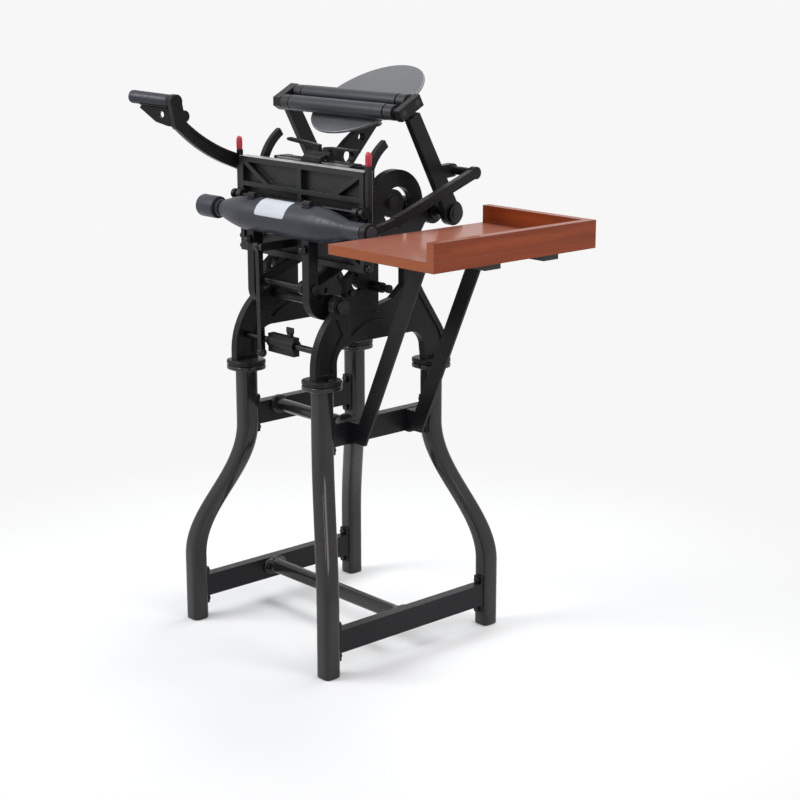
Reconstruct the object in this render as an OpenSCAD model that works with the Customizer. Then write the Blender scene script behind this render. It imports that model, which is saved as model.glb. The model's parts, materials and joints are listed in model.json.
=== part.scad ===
// Hand-lever platen press on a four-legged stand, with a feed board at its right.
// X runs along the impression bar, Y from the operator to the rear, Z up from the floor.
// The press is drawn closed, with its inking rollers up on the ink disk.

/* [Stand] */
// Spacing of the feet across the press
foot_x = 464; // [430:2:500]
// Spacing of the feet from front to rear
foot_y = 463; // [430:2:500]
// Side of the square leg tube
leg_w = 40; // [36:1:42]
// Height where the bend of a leg starts
bend_low = 150; // [130:5:170]
// Height where the bend of a leg ends
bend_high = 470; // [445:5:470]
// Thickness of a flange plate
flange_t = 11; // [9:1:13]
// Height of a stretcher bar
stretch_h = 50; // [40:1:54]
// Thickness of a stretcher bar
stretch_t = 24; // [18:1:30]
// Diameter of the upper cross tube
tube_d = 28; // [22:1:34]

/* [Side frames] */
// Thickness of a side frame over its rims
frame_t = 18; // [15:1:20]
// Depth of the panels sunk in each face
panel_depth = 4; // [2:0.5:5]

/* [Shafts] */
// Rocker shaft diameter
rock_d = 20; // [16:1:24]
// Main shaft diameter
main_d = 24; // [20:1:24]
// Head shaft diameter
head_d = 18; // [14:1:20]
// Clearance of a shaft in its bearing
run_gap = 0.05; // [0.03:0.01:0.1]
// Gap between faces that slide past each other
face_gap = 0.5; // [0.4:0.1:1]

/* [Bed and platen] */
// Thickness of the bed plate
bed_t = 18; // [14:1:20]
// Width of the bars of the chase
chase_bar = 20; // [14:1:26]
// Thickness of the platen plate
platen_t = 12; // [10:1:13]
// Depth of the ribs on the platen's back
rib_h = 13; // [10:1:14]
// Impression bar, largest diameter
bar_d = 75; // [70:1:76]
// Rocker arm, thickness
arm_t = 22; // [18:1:26]
// Rocker arm, depth
arm_w = 25; // [22:1:28]

/* [Inking] */
// Ink disk radius
disk_r = 131; // [120:1:131]
// Ink disk thickness
disk_t = 7; // [5:0.5:9]
// Ink roller diameter
roller_d = 34; // [30:0.5:34]
// Half length of a roller's rubber
roller_half = 152; // [146:1:153]

/* [Lever] */
// Depth of the lever arm at its hub
lever_w = 40; // [34:1:46]
// Length of the grip
grip_len = 104; // [92:1:125]
// Diameter of the grip
grip_d = 29; // [26:1:32]

/* [Feed board] */
// Board size across
board_w = 298; // [270:1:320]
// Board size from front to rear
board_l = 440; // [410:1:460]
// Thickness of the board
board_t = 20; // [16:1:24]
// Height of the two rims above the board
rim_h = 36; // [28:1:44]
// Thickness of the two rims
rim_t = 19; // [14:1:24]
// Width of a board bracket's angle
angle_w = 36; // [30:1:40]
// Thickness of a board bracket's angle
angle_t = 6; // [4:1:8]

/* [Hidden] */
$fn = 64;
cast = [0.14, 0.14, 0.15];
painted = [0.2, 0.19, 0.19];
steel = [0.6, 0.6, 0.62];
rubber = [0.1, 0.1, 0.11];
board_red = [0.59, 0.29, 0.18];
tip_red = [0.65, 0.07, 0.1];

// Pivots of the press, as Y and Z
ROCK = [-112, 760];
MAIN = [148, 937];
HEAD = [26, 965];
BAR = [-147, 932];
DRAW = [-150, 795];
LINK_TOP = [145, 1028.2];
LINK_BEND = [-40, 930];
LINK_BEND_RIGHT = [-75, 948];
GRIP_SHAFT = [-111, 961];
PULL_TOP = [-175, 870];
PULL_END = [-172, 640];
LATCH = [-46, 1058];
LOW_ROD = [-154, 666];

function arc(c, r, a, b, n) =
    [for (i = [0:n]) [c[0] + r * cos(a + (b - a) * i / n), c[1] + r * sin(a + (b - a) * i / n)]];
function polar(c, r, a) = [c[0] + r * cos(a), c[1] + r * sin(a)];

// Draws a Y-Z outline as a plate from x0 to x1
module plate_x(x0, x1) {
    translate([x0, 0, 0]) rotate([90, 0, 90]) linear_extrude(x1 - x0) children();
}
// Draws an X-Z outline as a plate from y0 to y1
module plate_y(y0, y1) {
    translate([0, y1, 0]) rotate([90, 0, 0]) linear_extrude(y1 - y0) children();
}
// A round bar along X at the Y-Z point p
module bar_x(x0, x1, p, d) {
    translate([x0, p[0], p[1]]) rotate([0, 90, 0]) cylinder(d = d, h = x1 - x0);
}
// A hexagonal head along X at the Y-Z point p
module hex_x(x0, x1, p, w) {
    translate([x0, p[0], p[1]]) rotate([0, 90, 0]) cylinder(d = w / cos(30), h = x1 - x0, $fn = 6);
}
// A bar of width w between two points of an outline, with round ends
module link_2d(p, q, w) {
    d = q - p;
    translate(p) rotate(atan2(d[1], d[0])) translate([0, -w / 2]) square([norm(d), w]);
    translate(p) circle(d = w);
    translate(q) circle(d = w);
}
// A bar of width w between two points, with square ends
module bar_2d(p, q, w) {
    d = q - p;
    translate(p) rotate(atan2(d[1], d[0])) translate([0, -w / 2]) square([norm(d), w]);
}
// A bar whose width goes from w to v between two points, with round ends
module taper_2d(p, q, w, v) {
    d = q - p;
    translate(p) rotate(atan2(d[1], d[0]))
        polygon([[0, -w / 2], [norm(d), -v / 2], [norm(d), v / 2], [0, w / 2]]);
    spot(p, w / 2);
    spot(q, v / 2);
}
// A disc of an outline
module spot(p, r) {
    translate(p) circle(r = r);
}
// Lifts what is drawn for a stand of height PRESS_SEAT onto the real one
module on_stand() {
    translate([0, 0, rise]) children();
}
// Draws a right-hand shape on the side s, 1 for right and -1 for left
module side(s) {
    mirror([s < 0 ? 1 : 0, 0, 0]) children();
}

// Stand
STAND_H = 600;
PRESS_SEAT = 600;
rise = STAND_H - PRESS_SEAT;
LEG_TOP_X = 258;
LEG_TOP_Y = 312;
FLANGE_W = 64;
FLANGE_CORNER = 14;
FLANGE_BOLT = 8;
BOLT_GAP = 0.1;
HEAD_W = 13;
HEAD_H = 6;
LOW_Z = 75;
SEAT_Z = PRESS_SEAT - 113;
HIGH_Z = SEAT_Z + rise;
PAD_T = 6;
PAD_H = 84;
TUBE_Y = -80;
TUBE_Z = HIGH_Z + 13;
CENTRE_Y = -18;
CENTRE_Z = 80;
BEND_STEPS = 18;
leg_top_z = STAND_H - flange_t;
pad_bolt = PAD_H / 2 - 8;

function bend(z) = z <= bend_low ? 1 : z >= bend_high ? 0
    : (1 + cos(180 * (z - bend_low) / (bend_high - bend_low))) / 2;
leg_levels = concat([0], [for (i = [0:BEND_STEPS])
    bend_low + (bend_high - bend_low) * i / BEND_STEPS], [leg_top_z]);

module leg_outline(top, foot) {
    path = [for (z = leg_levels) [top / 2 + (foot - top) / 2 * bend(z), z]];
    n = len(path) - 1;
    polygon(concat([for (p = path) p - [leg_w / 2, 0]],
        [for (i = [n:-1:0]) path[i] + [leg_w / 2, 0]]));
}
module leg(sx, sy) {
    color(painted) side(sx) mirror([0, sy < 0 ? 1 : 0, 0]) difference() {
        union() {
            intersection() {
                plate_y(0, foot_y) leg_outline(LEG_TOP_X, foot_x);
                plate_x(0, foot_x) leg_outline(LEG_TOP_Y, foot_y);
            }
            flange(leg_top_z);
        }
        flange_holes(leg_top_z - 1, flange_t + 2);
    }
}
module flange(z) {
    h = FLANGE_W / 2;
    k = h - FLANGE_CORNER;
    translate([LEG_TOP_X / 2, LEG_TOP_Y / 2, z]) linear_extrude(flange_t)
        polygon([[-k, -h], [k, -h], [h, -k], [h, k], [k, h], [-k, h], [-h, k], [-h, -k]]);
}
module flange_spots(z) {
    for (s = [-1, 1]) translate([LEG_TOP_X / 2 + s * 26, LEG_TOP_Y / 2, z]) children();
}
module flange_holes(z, h) {
    flange_spots(z) cylinder(d = FLANGE_BOLT, h = h);
}
module flange_bolts() {
    color(steel) for (sx = [-1, 1]) for (sy = [-1, 1])
        side(sx) mirror([0, sy < 0 ? 1 : 0, 0]) flange_spots(0) {
            translate([0, 0, leg_top_z + 1])
                cylinder(d = FLANGE_BOLT - 2 * BOLT_GAP, h = 2 * flange_t - 1);
            translate([0, 0, STAND_H + flange_t]) cylinder(d = HEAD_W / cos(30), h = HEAD_H, $fn = 6);
        }
}

// A bar from front to rear between two legs, with a bolted pad at each end
module stretcher(s, x, half, z) {
    color(painted) side(s) difference() {
        union() {
            translate([x - stretch_t / 2, -half, z - stretch_h / 2])
                cube([stretch_t, 2 * half, stretch_h]);
            for (y = [-half, half - PAD_T]) translate([x - stretch_t / 2, y, z - PAD_H / 2])
                cube([stretch_t, PAD_T, PAD_H]);
        }
        for (y = [-half - 1, half - PAD_T - 1]) for (dz = [-pad_bolt, pad_bolt])
            translate([x, y, z + dz]) rotate([-90, 0, 0])
                cylinder(d = FLANGE_BOLT, h = PAD_T + 2);
    }
}
low_half = foot_y / 2 - leg_w / 2;
high_half = LEG_TOP_Y / 2 - leg_w / 2;
module pad_bolts(x, half, z) {
    for (sy = [-1, 1]) mirror([0, sy < 0 ? 1 : 0, 0]) for (dz = [-pad_bolt, pad_bolt])
        translate([x, half - PAD_T, z + dz]) rotate([-90, 0, 0]) {
            cylinder(d = FLANGE_BOLT - 2 * BOLT_GAP, h = PAD_T);
            translate([0, 0, -HEAD_H]) cylinder(d = HEAD_W / cos(30), h = HEAD_H, $fn = 6);
        }
}
centre_half = foot_x / 2 - stretch_t / 2;
module centre_bar() {
    color(painted) {
        translate([-centre_half, CENTRE_Y - 10, CENTRE_Z - 20]) cube([2 * centre_half, 20, 40]);
        for (s = [-1, 1]) side(s) translate([centre_half - PAD_T, CENTRE_Y - 32, CENTRE_Z - 20])
            cube([PAD_T, 64, 40]);
    }
}
module stand_bolts() {
    color(steel) {
        for (s = [-1, 1]) side(s) {
            pad_bolts(foot_x / 2, low_half, LOW_Z);
            pad_bolts(LEG_TOP_X / 2, high_half, HIGH_Z);
            for (dy = [-22, 22]) hex_x(centre_half - PAD_T - HEAD_H, centre_half - PAD_T,
                [CENTRE_Y + dy, CENTRE_Z], HEAD_W);
        }
        for (y = [bracket_front, bracket_rear]) for (z = [SEAT_Z - 10, SEAT_Z + 14])
            on_stand() translate([lean_x(z) + lean_deep(angle_t), y + angle_w * 0.6, z])
                rotate([0, 90 + atan(LEAN), 0])
                    cylinder(d = HEAD_W / cos(30), h = HEAD_H, $fn = 6);
    }
}
module upper_cross_tube() {
    half = LEG_TOP_X / 2 - stretch_t / 2;
    color(painted) {
        bar_x(-half, half, [TUBE_Y, TUBE_Z], tube_d);
        for (s = [-1, 1]) side(s) bar_x(half - 8, half, [TUBE_Y, TUBE_Z], tube_d + 14);
    }
}

// Side frames
FRAME_X = 134;
FRONT_ARC = [-35, 631];
FRONT_R = 150;
RIM = 12;
REAR_ARC = [98, 635];
REAR_R = 90;
WAIST = [248, 843];
WAIST_R = 150;
HEAD_DISC = [41, 957];
HEAD_R = 75;
POST_FRONT = -58;
POST_REAR = -20;
BED_TOP = 1048;
BED_LOW = 864;
frame_in = FRAME_X - frame_t / 2;
frame_out = FRAME_X + frame_t / 2;
base_z = PRESS_SEAT + flange_t;

module frame_outline() {
    difference() {
        union() {
            polygon(concat([[-185, base_z - 1], [-185, FRONT_ARC[1]]],
                arc(FRONT_ARC, FRONT_R, 180, 118, 20),
                [[-98, 768], [-98, 815], [POST_FRONT, 846], [POST_FRONT, BED_TOP - 2],
                 [POST_REAR, BED_TOP - 2], [POST_REAR, HEAD_DISC[1]], HEAD_DISC, MAIN,
                 [124, 914], [104, 884]],
                arc(WAIST, WAIST_R, 180, 213.7, 12),
                arc(REAR_ARC, REAR_R, 33.7, 0, 12), [[188, base_z - 1], [126, base_z - 1]],
                [[122, 640], [82, 680], [-86, 680], [-126, 640], [-126, base_z - 1]]));
            spot(ROCK, 22);
            spot(MAIN, 29);
            spot(HEAD_DISC, HEAD_R);
        }
        spot([82, 640], 40);
        spot([-86, 640], 40);
        frame_window();
        crescent([-62, 810], 22, 12);
        difference() {
            spot([45, 954], 42);
            spot([31, 962], 30);
        }
    }
}
module frame_window() {
    difference() {
        polygon([[-10, 752], [30, 760], [62, 786], [62, 910], [-10, 910]]);
        spot(HEAD_DISC, HEAD_R);
    }
}
module crescent(c, r, shift) {
    difference() {
        spot(c, r);
        spot(c + [shift, 0], r - 2);
    }
}
module frame_panels() {
    difference() {
        union() {
            polygon(concat([[-173, 622]], arc(FRONT_ARC, FRONT_R - RIM, 180, 130, 14),
                [[-108, 700], [-128, 672], [-137, 645], [-137, 622]]));
            polygon([[-90, 695], [56, 695], [66, 706], [74, 740], [40, 744], [-14, 736],
                [-26, 746], [-90, 746]]);
            polygon(concat([[176, 622]], arc(REAR_ARC, REAR_R - RIM, 0, 33.7, 8),
                [[118, 744], [104, 766], [90, 748], [82, 706], [106, 690], [130, 664],
                 [138, 645], [138, 622]]));
            polygon([[-50, 862], [-28, 862], [-28, 1036], [-50, 1036]]);
        }
        spot(ROCK, 28);
        spot([-16, 620], 100);
        intersection() {
            spot([-16, 660], 60);
            spot([-16, 776], 68);
        }
    }
}
module side_frame(s) {
    color(cast) on_stand() side(s) difference() {
        union() {
            plate_x(frame_in, frame_out) frame_outline();
            plate_x(frame_in - 3, frame_out + 3) {
                spot(ROCK, 19);
                spot(MAIN, 24);
                spot(HEAD, 16);
            }
            for (m = [0, 1]) mirror([0, m, 0]) flange(PRESS_SEAT);
        }
        plate_x(frame_in - 1, frame_in + panel_depth) frame_panels();
        plate_x(frame_out - panel_depth, frame_out + 1) frame_panels();
        bar_x(frame_in - 5, frame_out + 5, ROCK, rock_d + 2 * run_gap);
        bar_x(frame_in - 5, frame_out + 5, MAIN, main_d + 2 * run_gap);
        bar_x(frame_in - 5, frame_out + 5, HEAD, head_d + 2 * run_gap);
        for (m = [0, 1]) mirror([0, m, 0]) flange_holes(PRESS_SEAT - 1, flange_t + 2);
    }
}
module head_shaft() {
    color(steel) on_stand() {
        bar_x(-frame_out - 8, frame_out + 8, HEAD, head_d);
        for (s = [-1, 1]) side(s) bar_x(frame_out + 3, frame_out + 7, HEAD, head_d + 8);
    }
}
module lower_rod() {
    color(cast) on_stand() bar_x(-frame_in - panel_depth, frame_in + panel_depth, LOW_ROD, 14);
}
CLAMP_LEFT = -42;
CLAMP_RIGHT = 44;
THUMB_X = 24;
THUMB_D = 8;
module rod_clamp() {
    color(cast) on_stand() difference() {
        plate_x(CLAMP_LEFT, CLAMP_RIGHT) {
            spot(LOW_ROD, 13);
            translate(LOW_ROD + [-8, -22]) square([16, 22]);
            translate(LOW_ROD + [-8, 0]) square([16, 18]);
        }
        bar_x(CLAMP_LEFT - 1, CLAMP_RIGHT + 1, LOW_ROD, 14 + 2 * run_gap);
        translate([THUMB_X, LOW_ROD[0], LOW_ROD[1] + 8])
            cylinder(d = THUMB_D + 2 * run_gap, h = 20);
    }
}
module thumbscrew() {
    color(steel) on_stand() translate([THUMB_X, LOW_ROD[0], LOW_ROD[1]]) {
        translate([0, 0, 9]) cylinder(d = THUMB_D, h = 18);
        translate([0, 0, 19]) cylinder(d = 14, h = 8);
        translate([-11, -2, 26]) cube([22, 4, 12]);
    }
}
BUFFER = [-28, 795];
module buffer_stud() {
    color(steel) on_stand() {
        bar_x(frame_out, 200, BUFFER, 12);
        bar_x(frame_out, frame_out + 34, BUFFER, 22);
        bar_x(192, 198, BUFFER, 18);
    }
}
module frame_bolts() {
    color(steel) on_stand() for (s = [-1, 1]) side(s) {
        for (z = [930, 1026]) hex_x(frame_out - panel_depth, frame_out + 4, [-39, z], 15);
        for (z = [790, 836]) hex_x(frame_out, frame_out + 6, [z < 800 ? -86 : -70, z - 4], 11);
    }
}

// Bed, chase and latch
BED_FACE = -56;
bed_back = BED_FACE + bed_t;
EAR_X = 30;
EAR_T = 6;
PIN_D = 6;
module bed() {
    color(cast) on_stand() {
        translate([-frame_in, BED_FACE, BED_LOW]) cube([2 * frame_in, bed_t, BED_TOP - BED_LOW]);
        for (x = [-116, 104]) translate([x, bed_back, BED_LOW + 8]) cube([12, 18, 168]);
        translate([-103, bed_back, BED_LOW + 8]) cube([206, 14, 12]);
        translate([-6, bed_back, BED_LOW + 20]) cube([12, 14, 70]);
        for (s = [-1, 1]) side(s) plate_x(EAR_X, EAR_X + EAR_T) difference() {
            union() {
                spot(LATCH, 8);
                translate([LATCH[0] - 8, BED_TOP]) square([16, LATCH[1] - BED_TOP]);
            }
            spot(LATCH, PIN_D / 2 - 1);
        }
        bar_x(-EAR_X - EAR_T, EAR_X + EAR_T, LATCH, PIN_D);
    }
}
CHASE_HALF = 118;
CHASE_LOW = 872;
CHASE_TOP = 1046;
CHASE_T = 14;
module chase() {
    color(steel) on_stand() translate([0, BED_FACE - CHASE_T, 0]) difference() {
        translate([-CHASE_HALF, 0, CHASE_LOW]) cube([2 * CHASE_HALF, CHASE_T, CHASE_TOP - CHASE_LOW]);
        for (x = [-CHASE_HALF + chase_bar, 4]) translate([x, -1, CHASE_LOW + chase_bar])
            cube([CHASE_HALF - chase_bar - 4, CHASE_T + 2, CHASE_TOP - CHASE_LOW - 2 * chase_bar]);
    }
}
module chase_latch() {
    color(cast) on_stand() difference() {
        union() {
            plate_x(-EAR_X + face_gap, EAR_X - face_gap) {
                link_2d(LATCH, LATCH + [-20, -6], 10);
                spot(LATCH, 7);
                translate(LATCH + [-29, -18]) square([4, 10]);
                translate(LATCH + [-29, -11.4]) square([12, 3.4]);
            }
            plate_y(LATCH[0] + 1, LATCH[0] + 11) polygon([[-8, 1060], [-8, 1078], [-30, 1080],
                [-110, 1086], [-116, 1083], [-110, 1079], [-40, 1073], [-26, 1071], [-24, 1060]]);
            plate_y(LATCH[0] + 1, LATCH[0] + 11) polygon([[8, 1060], [8, 1074], [28, 1076],
                [118, 1076], [118, 1071], [28, 1071], [24, 1060]]);
        }
        bar_x(-EAR_X, EAR_X, LATCH, PIN_D + 2 * run_gap);
    }
}

// Roller rails
RAIL_IN = 166;
RAIL_OUT = 178;
RAIL_ARC = [41, 1000];
RAIL_R = 118;
RAIL_DEEP = 17;
module roller_rail(s) {
    color(cast) on_stand() side(s) {
        plate_x(RAIL_IN, RAIL_OUT) polygon(concat([[RAIL_ARC[0] - RAIL_R, 868]],
            arc(RAIL_ARC, RAIL_R, 180, 122, 18), arc(RAIL_ARC, RAIL_R - RAIL_DEEP, 122, 180, 18),
            [[RAIL_ARC[0] - RAIL_R + RAIL_DEEP, 868]]));
        for (z = [878, 978]) translate([frame_out, -72, z])
            cube([RAIL_IN - frame_out + 1, 34, 18]);
    }
}

// Ink disk
DISK = [85, 1170];
DISK_TILT = 29.3;
SPINDLE_D = 16;
SPINDLE_L = 62;
RATCHET_T = 6;
RATCHET_R = 62;
TEETH = 30;
HUB_L = 38;
module on_disk() {
    translate([0, DISK[0], DISK[1]]) rotate([DISK_TILT, 0, 0]) children();
}
module ink_disk() {
    color(steel) on_stand() on_disk() {
        rotate_extrude() polygon([[0, -disk_t], [disk_r - 3, -disk_t], [disk_r, 2 - disk_t],
            [disk_r, -1.5], [disk_r - 1.5, 0], [0, 0]]);
        translate([0, 0, -disk_t - SPINDLE_L]) cylinder(d = SPINDLE_D, h = SPINDLE_L);
    }
}
module disk_ratchet() {
    color(cast) on_stand() on_disk() translate([0, 0, -disk_t - RATCHET_T]) linear_extrude(RATCHET_T)
        difference() {
            polygon([for (i = [0:2 * TEETH - 1])
                polar([0, 0], RATCHET_R - (i % 2) * 5, (i - (i % 2) * 0.8) * 180 / TEETH)]);
            circle(d = SPINDLE_D + 2 * run_gap);
            for (a = [0:60:300]) rotate(a) translate([35, 0]) circle(r = 10);
        }
}
hub_top = -disk_t - RATCHET_T - face_gap;
module disk_bracket() {
    color(cast) on_stand() {
        difference() {
            union() {
                on_disk() translate([0, 0, hub_top - HUB_L]) cylinder(d = 34, h = HUB_L);
                plate_x(-8, 8) difference() {
                    polygon([[bed_back + 4, 964], [bed_back + 4, 1036], [22, 1084], [84, 1126],
                        [110, 1112], [54, 1050], [2, 990]]);
                    spot([26, 1050], 14);
                    spot([62, 1088], 9);
                }
            }
            on_disk() translate([0, 0, hub_top - HUB_L - 20])
                cylinder(d = SPINDLE_D + 2 * run_gap, h = HUB_L + 22);
        }
        translate([-34, bed_back, 962]) cube([68, 9, 78]);
        for (x = [-24, 24]) for (z = [976, 1024]) translate([x, bed_back + 8, z])
            rotate([-90, 0, 0]) cylinder(d = HEAD_W / cos(30), h = HEAD_H, $fn = 6);
    }
}

// Rocker and platen
ARM_X = 92;
HOOK = [-118.5, 775];
HOOK_R = 35;
STRAP_T = 2.5;
arm_in = ARM_X - arm_t / 2;
arm_out = ARM_X + arm_t / 2;
module rocker_shaft() {
    color(steel) on_stand() {
        bar_x(-frame_out - 8, frame_out + 8, ROCK, rock_d);
        for (s = [-1, 1]) side(s)
            bar_x(frame_out + 3 + face_gap, frame_out + 8, ROCK, rock_d + 10);
    }
}
module rocker_arm(s) {
    mid = HOOK[0] - HOOK_R;
    color(cast) on_stand() side(s) difference() {
        plate_x(arm_in, arm_out) {
            translate([mid - arm_w / 2, HOOK[1]]) square([arm_w, BAR[1] - HOOK[1]]);
            intersection() {
                difference() {
                    spot(HOOK, HOOK_R + arm_w / 2);
                    spot(HOOK, HOOK_R - arm_w / 2);
                }
                polygon([[-220, HOOK[1] + 1], [-220, 700], [-92, 700], [-92, 752], HOOK]);
            }
            spot(ROCK, 21);
            spot(DRAW, 15);
            intersection() {
                spot(BAR, bar_d / 2 + STRAP_T);
                polygon([BAR, polar(BAR, 90, 118), BAR + [90, 90], BAR + [90, -60], BAR - [0, 60]]);
            }
            link_2d(polar(BAR, bar_d / 2 - 2, 104), polar(BAR, bar_d / 2 + 5, 104), 13);
        }
        bar_x(0, 200, BAR, bar_d + 2 * run_gap);
        bar_x(0, 200, ROCK, rock_d + 2 * run_gap);
        bar_x(0, 200, DRAW, DRAW_D + 2 * run_gap);
    }
}
DRAW_D = 14;
module draw_pin() {
    color(steel) on_stand() {
        bar_x(-arm_out - 1, arm_out + 1, DRAW, DRAW_D);
        for (s = [-1, 1]) side(s) bar_x(arm_out, arm_out + 4, DRAW, DRAW_D + 8);
    }
}
PLATEN_HALF = 205;
LINK_LEFT_IN = PLATEN_HALF + 4;
LINK_RIGHT_IN = 262;
LINK_LEFT_T = 10;
LINK_RIGHT_T = 14;
NECK_X = PLATEN_HALF;
NECK_R = 18.5;
BAR_END = 258;
CAP_L = 58;
cap_in = LINK_LEFT_IN + LINK_LEFT_T + 5;
link_right_out = LINK_RIGHT_IN + LINK_RIGHT_T;
BAR_TAPER = [[NECK_R, NECK_X], [bar_d / 2 - 15, NECK_X - 14], [bar_d / 2 - 10, NECK_X - 33],
    [bar_d / 2 - 5.5, NECK_X - 53], [bar_d / 2 - 2, NECK_X - 73], [bar_d / 2 - 0.4, NECK_X - 88],
    [bar_d / 2, NECK_X - 99]];
LINK_PIN_R = 9;
JOURNAL_R = 13;
SCREW_D = 12;
SCREWS = [-175, -60, 60, 175];
module impression_bar() {
    color(cast) on_stand() difference() {
        translate([0, BAR[0], BAR[1]]) rotate([0, 90, 0]) rotate_extrude() polygon(concat(
            [[0, -cap_in - CAP_L], [22, -cap_in - CAP_L], [25, 3 - cap_in - CAP_L], [25, -cap_in - 3],
             [22, -cap_in], [JOURNAL_R, -cap_in], [JOURNAL_R, 2 - LINK_LEFT_IN]],
            [for (q = BAR_TAPER) [q[0], -q[1]]],
            [for (i = [len(BAR_TAPER) - 1:-1:0]) BAR_TAPER[i]],
            [[NECK_R, BAR_END], [LINK_PIN_R, BAR_END], [LINK_PIN_R, link_right_out + face_gap],
             [14, link_right_out + face_gap], [14, BOARD_X - 1.5], [0, BOARD_X - 1.5]]));
        for (x = SCREWS) translate([x, BAR[0], BAR[1]]) rotate([-90, 0, 0])
            cylinder(d = SCREW_D + 2 * run_gap, h = bar_d);
    }
}
PLATEN_FACE = -80;
PLATEN_LOW = 838;
RIB_STEP = 53;
RIB_FOOT = 106;
PLATEN_TOP = 1044;
RIB_W = 12;
platen_back = PLATEN_FACE - platen_t;
LUG_X = PLATEN_HALF - 19;
LUG_T = 14;
module platen() {
    y = platen_back - rib_h;
    color(cast) on_stand() difference() {
        union() {
            translate([-PLATEN_HALF, platen_back, PLATEN_LOW])
                cube([2 * PLATEN_HALF, platen_t, PLATEN_TOP - PLATEN_LOW]);
            plate_y(y, platen_back) {
                for (x = [-PLATEN_HALF, -RIB_W / 2, PLATEN_HALF - RIB_W])
                    translate([x, PLATEN_LOW]) square([RIB_W, PLATEN_TOP - PLATEN_LOW]);
                for (z = [PLATEN_LOW, PLATEN_TOP - RIB_W])
                    translate([-PLATEN_HALF, z]) square([2 * PLATEN_HALF, RIB_W]);
                for (z = [PLATEN_LOW + 6, PLATEN_TOP - 6]) {
                    rib_z = z + (z < BAR[1] ? RIB_STEP : -RIB_STEP);
                    translate([-PLATEN_HALF, rib_z - 5]) square([2 * PLATEN_HALF, 10]);
                    for (s = [-1, 1]) bar_2d([s * RIB_FOOT, rib_z], [s * (PLATEN_HALF - 6), z], 9);
                }
            }
            for (x = SCREWS) translate([x, platen_back, BAR[1]]) rotate([90, 0, 0])
                cylinder(r = 15, h = rib_h);
            for (s = [-1, 1]) side(s) plate_x(LUG_X, LUG_X + LUG_T)
                link_2d([platen_back - 6, GRIP_SHAFT[1]], GRIP_SHAFT, 22);
            plate_x(PULL_RIGHT + face_gap, PULL_RIGHT + 11)
                link_2d([platen_back - 6, PULL_TOP[1]], PULL_TOP, 16);
            bar_x(PULL_LEFT - 5, PULL_RIGHT + 5, PULL_TOP, PULL_PIN);
            bar_x(PULL_LEFT - 6, PULL_LEFT - face_gap, PULL_TOP, PULL_PIN + 6);
        }
        for (s = [-1, 1]) side(s) bar_x(LUG_X - 1, LUG_X + LUG_T + 1, GRIP_SHAFT,
            GRIPPER_D + 2 * run_gap);
        for (x = SCREWS) translate([x, platen_back + 4, BAR[1]]) rotate([90, 0, 0])
            cylinder(d = SCREW_D + 2 * run_gap, h = rib_h + 10);
    }
}
module impression_screws() {
    y = platen_back - rib_h;
    color(steel) on_stand() for (x = SCREWS) translate([x, 0, BAR[1]]) {
        translate([0, BAR[0] + 10, 0]) rotate([-90, 0, 0])
            cylinder(d = SCREW_D, h = platen_back - BAR[0] - 10 + 3);
        translate([0, y - 3, 0]) rotate([-90, 0, 0]) cylinder(d = 20 / cos(30), h = 3, $fn = 6);
    }
}
GRIPPER_D = 10;
GRIPPER_X = PLATEN_HALF + 2;
GRIPPER_T = 10;
FINGER_LOW = 941;
FINGER_TOP = 1056;
module gripper_shaft() {
    end = GRIPPER_X + GRIPPER_T;
    color(steel) on_stand() bar_x(-end - 2, end + 2, GRIP_SHAFT, GRIPPER_D);
}
module gripper(s) {
    color(steel) on_stand() side(s) difference() {
        plate_x(GRIPPER_X, GRIPPER_X + GRIPPER_T) {
            spot(GRIP_SHAFT, 11);
            translate([GRIP_SHAFT[0], GRIP_SHAFT[1] - 8]) square([18, 16]);
            translate([-103, FINGER_LOW]) square([10, FINGER_TOP - FINGER_LOW]);
        }
        bar_x(GRIPPER_X - 1, GRIPPER_X + GRIPPER_T + 1, GRIP_SHAFT, GRIPPER_D + 2 * run_gap);
    }
}
module gripper_tips() {
    color(tip_red) on_stand() for (s = [-1, 1]) side(s) plate_x(GRIPPER_X, GRIPPER_X + GRIPPER_T + 2)
        polygon([[-104, FINGER_TOP], [-92, FINGER_TOP], [-91, FINGER_TOP + 10],
            [-92, FINGER_TOP + 26], [-95, FINGER_TOP + 29], [-101, FINGER_TOP + 28],
            [-104, FINGER_TOP + 22], [-105, FINGER_TOP + 8]]);
}
PULL_LEFT = -58;
PULL_RIGHT = -46;
PULL_PIN = 8;
module pull_rod() {
    color(cast) on_stand() difference() {
        plate_x(PULL_LEFT, PULL_RIGHT) {
            link_2d(PULL_TOP, PULL_END, 11);
            spot(PULL_TOP, 10);
            spot(PULL_END, 9);
        }
        bar_x(PULL_LEFT - 1, PULL_RIGHT + 1, PULL_TOP, PULL_PIN + 2 * run_gap);
        bar_x(PULL_LEFT - 1, PULL_RIGHT + 1, PULL_END, PULL_PIN);
    }
}

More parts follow.
